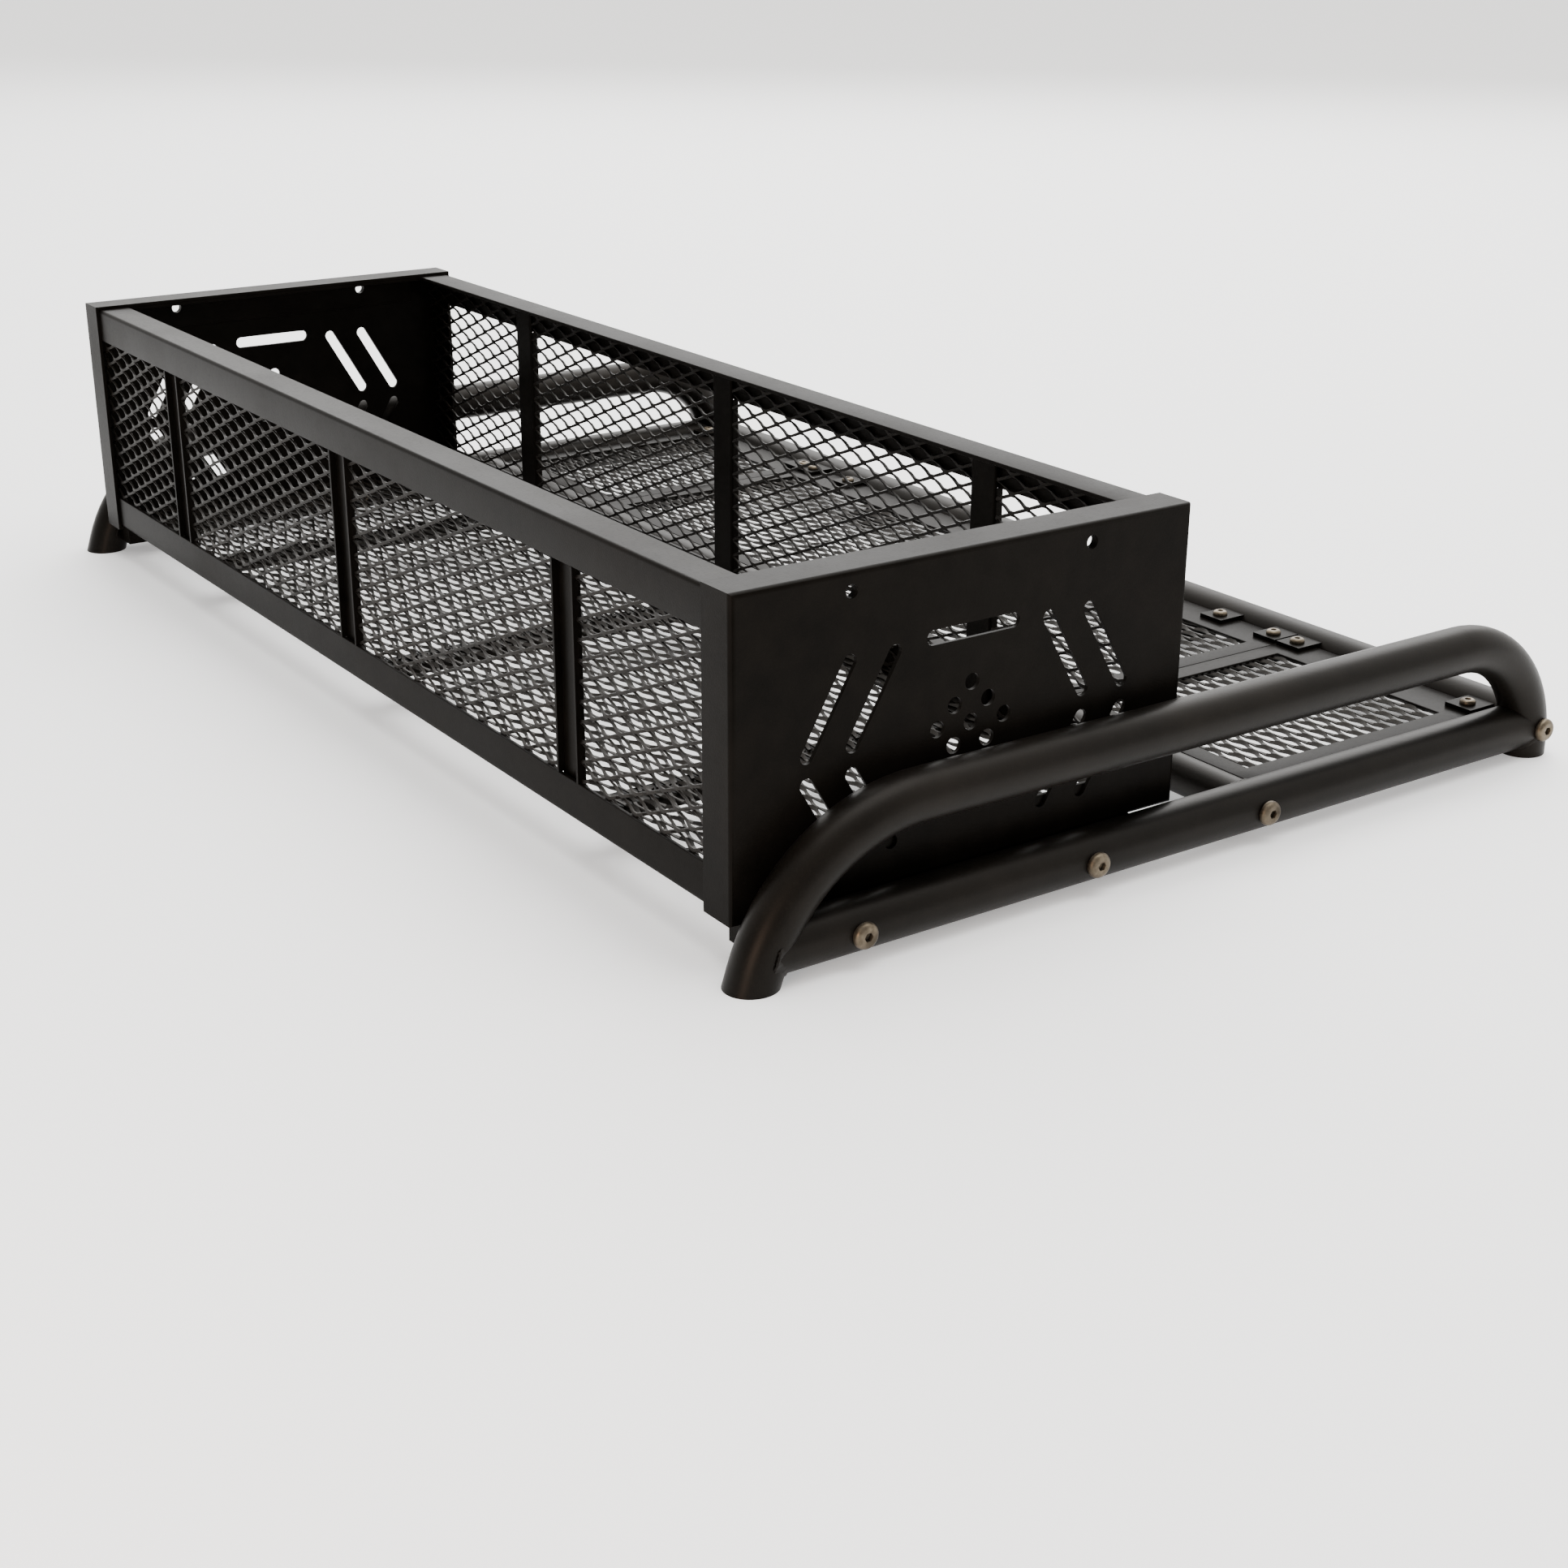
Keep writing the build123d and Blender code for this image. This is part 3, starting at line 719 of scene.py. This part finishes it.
def end_plate(side):
    name = "right" if side > 0 else "left"
    low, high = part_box(f"{name}_end_plate")
    piece = block(f"{name}_end_pan", low, high)
    edit(piece)
    face_x = side * plate_high.x
    pick(piece, lambda a, b: abs(a.x - face_x) < NEAR and abs(b.x - face_x) < NEAR, "EDGE")
    bevel(FOLD, 6)
    pick(piece, lambda centre, normal: normal.x * side < -0.9)
    bpy.ops.mesh.delete(type="FACE")
    settle(piece)
    use_modifier(piece, "SOLIDIFY", thickness=PLATE, offset=-1, use_even_offset=True)
    cutters = [
        hole_cutter(side, hand * END_HOLE_OFFSET, plate_height - END_HOLE_DROP, END_HOLE)
        for hand in (-1, 1)
    ]
    cutters.append(hole_cutter(side, 0, LABEL_HEIGHT, LABEL_WIDTH, LABEL_LENGTH))
    step = VENT_PITCH / 2**0.5
    for i in (-1, 0, 1):
        for j in (-1, 0, 1):
            vent_z = VENT_HEIGHT + (i + j) * step
            cutters.append(hole_cutter(side, (i - j) * step, vent_z, VENT_WIDTH))
    for hand in (-1, 1):
        for row in (0, 1):
            near = hand * (SLOT_INNER + row * SLOT_STEP)
            far = hand * (SLOT_INNER + SLOT_SPREAD + row * SLOT_STEP)
            cutters.append(slot_between(side, (near, UPPER_TOP), (far, UPPER_LOW), SLOT_WIDTH))
            cutters.append(slot_between(side, (far, LOWER_HIGH), (near, LOWER_BOTTOM), SLOT_WIDTH))
    tool = join(cutters, "cutter")
    use_modifier(piece, "BOOLEAN", object=tool, operation="DIFFERENCE", solver="EXACT")
    bpy.data.objects.remove(tool)
    use_modifier(
        piece, "BEVEL", width=0.35 * MM, segments=2, limit_method="ANGLE",
        angle_limit=radians(60), use_clamp_overlap=True,
    )
    smooth(piece, 35)
    use_modifier(piece, "WEIGHTED_NORMAL", keep_sharp=True, weight=100)
    place(piece, sheet_coat, "black_powder_coat", f"{name}_end_plate")
    return piece


plates = [end_plate(1), end_plate(-1)]
print("end plate faces:", len(plates[0].data.polygons))

# %% [markdown]
# ## Expanded metal
# A press slits a sheet and stretches it. Each bond, the spot where four strands
# meet, tips over a little, so the sheet is full of ridges that catch the light.
# One bond with its four half strands is modelled, two of them fill a cell, and
# Array repeats the cell. Solidify gives the strands their thickness, and a
# bisect cuts the sheet to its bay.

# %% Model one bond with its four half strands
LONG, SHORT = 30.5 * MM, 12.7 * MM
STRAND = 1.9 * MM
STRAND_THICK = 1.3 * MM
BOND_HALF = 2.0 * MM
TIP = 0.36


def bond(name, x, y):
    """A small plate split across its middle; each side edge is drawn out into a strand."""
    reach = STRAND * 0.92
    deselect()
    bpy.ops.mesh.primitive_grid_add(x_subdivisions=1, y_subdivisions=2, size=1)
    piece = bpy.context.object
    piece.name = name
    piece.scale = (2 * BOND_HALF, 2 * reach, 1)
    settle(piece)
    run = Vector((LONG / 4, SHORT / 4))
    across = Vector((-run.y, run.x)).normalized() * STRAND / 2
    for right in (1, -1):
        for up in (1, -1):
            edit(piece, "EDGE")
            pick(
                piece,
                lambda a, b: abs(a.x - right * BOND_HALF) < NEAR and abs(b.x - right * BOND_HALF) < NEAR
                and (a.y + b.y) * up > NEAR, "EDGE",
            )
            extrude((0, 0, 0))
            mesh = bmesh.from_edit_mesh(piece.data)
            ends = sorted((v for v in mesh.verts if v.select), key=lambda v: v.co.y * up)
            targets = []
            for sign in (-1, 1):
                point = Vector((run.x, run.y)) + across * sign
                targets.append(Vector((right * point.x, up * point.y, 0)))
            moves = [(v.index, t - v.co) for v, t in zip(ends, targets)]
            for index, move in moves:
                bpy.ops.mesh.select_all(action="DESELECT")
                mesh = bmesh.from_edit_mesh(piece.data)
                mesh.verts.ensure_lookup_table()
                mesh.verts[index].select_set(True)
                bpy.ops.mesh.select_mode(type="VERT")
                bpy.ops.transform.translate(value=move)
    settle(piece)
    for vertex in piece.data.vertices:
        fold = vertex.co.y if abs(vertex.co.x) < BOND_HALF + NEAR else 0.0
        strand = 0.0
        if not fold:
            centre_y = run.y if vertex.co.y > 0 else -run.y
            strand = vertex.co.y - centre_y
        vertex.co.z = (fold + strand) * TIP
    piece.location = (x, y, 0)
    settle(piece)
    return piece


# %% Repeat the cell into a sheet and cut it to its bay
cell_piece = join([bond("bond_a", 0, 0), bond("bond_b", LONG / 2, SHORT / 2)], "mesh_cell")


def expanded_sheet(name, width, length):
    """A sheet in the XY plane, centred at the origin, cut to its width and length."""
    piece = twin(cell_piece, name)
    columns, rows = int(width / LONG) + 3, int(length / SHORT) + 3
    for count, step, axis in ((columns, LONG, 0), (rows, SHORT, 1)):
        offset = [0.0, 0.0, 0.0]
        offset[axis] = step
        use_modifier(
            piece, "ARRAY", count=count, use_relative_offset=False, use_constant_offset=True,
            constant_offset_displace=offset,
        )
    edit(piece)
    bpy.ops.mesh.select_all(action="SELECT")
    bpy.ops.mesh.remove_doubles(threshold=NEAR)
    settle(piece)
    piece.location = (-(columns - 0.5) * LONG / 2, -(rows - 0.5) * SHORT / 2, 0)
    settle(piece)
    use_modifier(piece, "SOLIDIFY", thickness=STRAND_THICK, offset=0)
    edit(piece)
    for axis, half in ((0, width / 2), (1, length / 2)):
        for sign in (1, -1):
            where, across = [0, 0, 0], [0, 0, 0]
            where[axis], across[axis] = sign * half, sign
            bpy.ops.mesh.select_all(action="SELECT")
            bpy.ops.mesh.bisect(
                plane_co=where, plane_no=across, clear_outer=True, use_fill=True, threshold=1e-6
            )
    settle(piece)
    smooth(piece, 30)
    return piece


# %% Hang a sheet in every bay
def put_sheet(node, turn, flat):
    low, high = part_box(node)
    size = high - low
    length = size.y if flat else size.z
    piece = expanded_sheet(f"{node}_expanded", size.x, length)
    piece.rotation_euler = turn
    piece.location = (low + high) / 2
    settle(piece)
    place(piece, mesh_coat, "black_mesh", node)
    return piece


sheets = []
for bay in (1, 2, 3, 4):
    sheets.append(put_sheet(f"rear_mesh_{bay}", (pi / 2, 0, 0), False))
    sheets.append(put_sheet(f"front_mesh_{bay}", (pi / 2, 0, 0), False))
    sheets.append(put_sheet(f"floor_mesh_{bay}", (0, 0, 0), True))
for name in ("left", "centre", "right"):
    sheets.append(put_sheet(f"{name}_deck_mesh", (0, 0, 0), True))
bpy.data.objects.remove(cell_piece)
print("largest sheet has", max(len(s.data.polygons) for s in sheets), "faces")

# %% [markdown]
# ## Deck frames
# Each deck panel is one sheet with a window, folded down at its back and sides. A
# flat plate is cut on four lines, its middle is deleted, the outer edges are
# extruded down into walls, and Solidify and Bevel give it the folded look.

# %% Fold a deck frame
DECK_SHEET = 2.0 * MM
DECK_FLANGE = 16.0 * MM
DECK_STRIP = 34.0 * MM


def deck_frame(node):
    low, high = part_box(node)
    deselect()
    middle = ((low.x + high.x) / 2, (low.y + high.y) / 2, high.z)
    bpy.ops.mesh.primitive_plane_add(size=1, location=middle)
    piece = bpy.context.object
    piece.name = f"{node}_folded"
    piece.scale = (high.x - low.x, high.y - low.y, 1)
    settle(piece)
    edit(piece)
    cuts = [((x, 0, 0), (1, 0, 0)) for x in (low.x + DECK_FLANGE, high.x - DECK_FLANGE)]
    cuts += [((0, y, 0), (0, 1, 0)) for y in (low.y + DECK_FLANGE, high.y - DECK_STRIP)]
    for where, across in cuts:
        bpy.ops.mesh.select_all(action="SELECT")
        bpy.ops.mesh.bisect(plane_co=where, plane_no=across)
    pick(
        piece,
        lambda centre, normal: low.x + DECK_FLANGE < centre.x < high.x - DECK_FLANGE
        and low.y + DECK_FLANGE < centre.y < high.y - DECK_STRIP,
    )
    bpy.ops.mesh.delete(type="FACE")

    def outer(a, b):
        return any(
            abs(getattr(a, axis) - value) < NEAR and abs(getattr(b, axis) - value) < NEAR
            for axis, value in (("x", low.x), ("x", high.x), ("y", low.y))
        )

    pick(piece, outer, "EDGE")
    extrude((0, 0, low.z - high.z))
    face_outward(piece)
    use_modifier(piece, "SOLIDIFY", thickness=DECK_SHEET, offset=-1, use_even_offset=True)
    use_modifier(
        piece, "BEVEL", width=0.8 * MM, segments=3, limit_method="ANGLE", angle_limit=radians(60)
    )
    smooth(piece, 35)
    place(piece, sheet_coat, "black_powder_coat", node)
    return piece


for name in ("left", "centre", "right"):
    made = deck_frame(f"{name}_deck_frame")
    made_low = min(v.co.z for v in made.data.vertices)
    packed_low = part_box(f"{name}_deck_frame")[0].z
    print(made.name, "lowest", round(made_low, 5), "packed", round(packed_low, 5))

# %% [markdown]
# ## Bolts
# The bolts have a low domed head with a six-sided socket. A cylinder's top rim
# is bevelled into the dome, Boolean cuts the socket into it, and a shank is
# joined below. One bolt is modelled and copied, each with its own mesh.

# %% Model one bolt along Z with its seat at the origin
def bolt(name, radius, head, socket, shank, length):
    deselect()
    bpy.ops.mesh.primitive_cylinder_add(
        vertices=36, radius=radius, depth=head, location=(0, 0, head / 2)
    )
    piece = bpy.context.object
    piece.name = name
    settle(piece)
    edit(piece)
    pick(piece, lambda a, b: a.z > head - NEAR and b.z > head - NEAR, "EDGE")
    bevel(head * 0.72, 6)
    settle(piece)
    deselect()
    bpy.ops.mesh.primitive_cylinder_add(
        vertices=6, radius=socket / 2 / cos(pi / 6), depth=head * 1.4, location=(0, 0, head)
    )
    tool = bpy.context.object
    use_modifier(piece, "BOOLEAN", object=tool, operation="DIFFERENCE", solver="EXACT")
    bpy.data.objects.remove(tool)
    deselect()
    bpy.ops.mesh.primitive_cylinder_add(
        vertices=24, radius=shank / 2, depth=length, location=(0, 0, 0.2 * MM - length / 2)
    )
    stem = bpy.context.object
    edit(stem)
    pick(stem, lambda a, b: a.z < -length / 2 + NEAR and b.z < -length / 2 + NEAR, "EDGE")
    bevel(0.8 * MM, 2)
    settle(stem)
    use_modifier(
        piece, "BEVEL", width=0.25 * MM, segments=2, limit_method="ANGLE", angle_limit=radians(50)
    )
    return join([piece, stem], name)


# %% Put the rail bolts and the deck bolts in place
def islands(node, gap):
    """Middles of the separate solids of a node, from its vertices grouped by place."""
    groups = []
    for vertex in nodes[node].data.vertices:
        for group in groups:
            if (vertex.co - group[0]).length < gap:
                group.append(vertex.co.copy())
                break
        else:
            groups.append([vertex.co.copy()])
    places = []
    for group in groups:
        low = Vector([min(p[i] for p in group) for i in range(3)])
        high = Vector([max(p[i] for p in group) for i in range(3)])
        places.append((low, high))
    return places


RAIL_BOLT_GAP = 60 * MM
DECK_BOLT_GAP = 18 * MM
rail_bolt = bolt(
    "rail_bolt", radius=8 * MM, head=4.4 * MM, socket=5 * MM, shank=8 * MM, length=50 * MM
)
copies = []
for low, high in islands("rail_bolts", RAIL_BOLT_GAP):
    side = 1 if high.x > 0 else -1
    copy = twin(rail_bolt, "rail_bolt_copy")
    copy.rotation_euler = (0, side * pi / 2, 0)
    copy.location = (side * (side_x + tube_radius), (low.y + high.y) / 2, rail_z)
    settle(copy)
    copies.append(copy)
bpy.data.objects.remove(rail_bolt)
rail_bolts = join(copies, "rail_button_bolts")
smooth(rail_bolts, 35)
place(rail_bolts, bolt_finish, "bronze_zinc", "rail_bolts")
print(len(copies), "rail bolts")

deck_bolt = bolt(
    "deck_bolt", radius=5.5 * MM, head=3.3 * MM, socket=4 * MM, shank=6 * MM, length=10 * MM
)
seat_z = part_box("deck_tabs")[1].z
copies = []
for low, high in islands("deck_bolts", DECK_BOLT_GAP):
    copy = twin(deck_bolt, "deck_bolt_copy")
    copy.location = ((low.x + high.x) / 2, (low.y + high.y) / 2, seat_z)
    settle(copy)
    copies.append(copy)
bpy.data.objects.remove(deck_bolt)
deck_bolts = join(copies, "deck_button_bolts")
smooth(deck_bolts, 35)
place(deck_bolts, bolt_finish, "bronze_zinc", "deck_bolts")
print(len(copies), "deck bolts")

# %% [markdown]
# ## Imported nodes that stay
# The small tabs, blocks, nuts and plugs already have their right shape, so they
# only get better materials.

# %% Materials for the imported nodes
for names, material in (
    (("deck_tabs", "mount_tabs", "left_basket_blocks", "right_basket_blocks"), sheet_coat),
    (("deck_nuts",), bolt_finish),
    (("cross_tube_plugs",), steel_finish),
    (("hoop_end_plugs",), plastic_finish),
):
    for name in names:
        paint(nodes[name], material)

# %% [markdown]
# ## Floor and light
# A pale floor stands for the studio's table. The sky is bright behind the rack
# and overhead, so the tops of the rails turn grey while the upright faces stay
# nearly black, as satin black does outdoors.

# %% Floor
deselect()
bpy.ops.mesh.primitive_plane_add(size=60, location=(0, 0, 0))
floor = bpy.context.object
floor.name = "studio_floor"
floor_material, _, floor_shader = new_material("pale_floor", Roughness=0.9, Specular_IOR_Level=0.1)
floor_shader.inputs["Base Color"].default_value = (0.90, 0.90, 0.90, 1)
# The floor also glows faintly. This is painted light: it lifts the shade beneath the basket and
# brightens the floor seen through the mesh.
floor_shader.inputs["Emission Color"].default_value = (1, 1, 1, 1)
floor_shader.inputs["Emission Strength"].default_value = 0.35
paint(floor, floor_material)


# %% Lights and sky
def softbox(name, location, target, width, height, power, colour=(1, 1, 1)):
    deselect()
    bpy.ops.object.light_add(type="AREA", location=location)
    light = bpy.context.object
    light.name = name
    light.data.shape = "RECTANGLE"
    light.data.size = width
    light.data.size_y = height
    light.data.energy = power
    light.data.color = colour
    light.rotation_mode = "QUATERNION"
    light.rotation_quaternion = (Vector(target) - Vector(location)).to_track_quat("-Z", "Y")


softbox("sky_panel", (-2.6, 2.4, 2.4), (0, 0, 0.1), 5.0, 2.6, 190)
softbox("overhead", (0.2, 0.4, 3.2), (0, 0, 0), 3.0, 3.0, 150)
softbox("low_warm", (1.05, -1.45, 0.30), (0.45, -0.32, 0.08), 0.4, 0.5, 8.0, (1.0, 0.72, 0.56))
world = bpy.data.worlds.new("studio_air")
bpy.context.scene.world = world
world.use_nodes = True
sky = world.node_tree.nodes["Background"]
sky.inputs["Color"].default_value = (1.0, 0.98, 0.95, 1)
toward = Socket(world.node_tree, world.node_tree.nodes.new("ShaderNodeTexCoord").outputs["Generated"])
bright_side = toward.node(
    "ShaderNodeVectorMath", {"operation": "DOT_PRODUCT"}, output=1, i0=toward, i1=(-0.58, 0.72, 0.38)
)
strength = bright_side.clamp(-0.6, 0.7) * 1.9 + 0.35
world.node_tree.links.new(strength.socket, sky.inputs["Strength"])
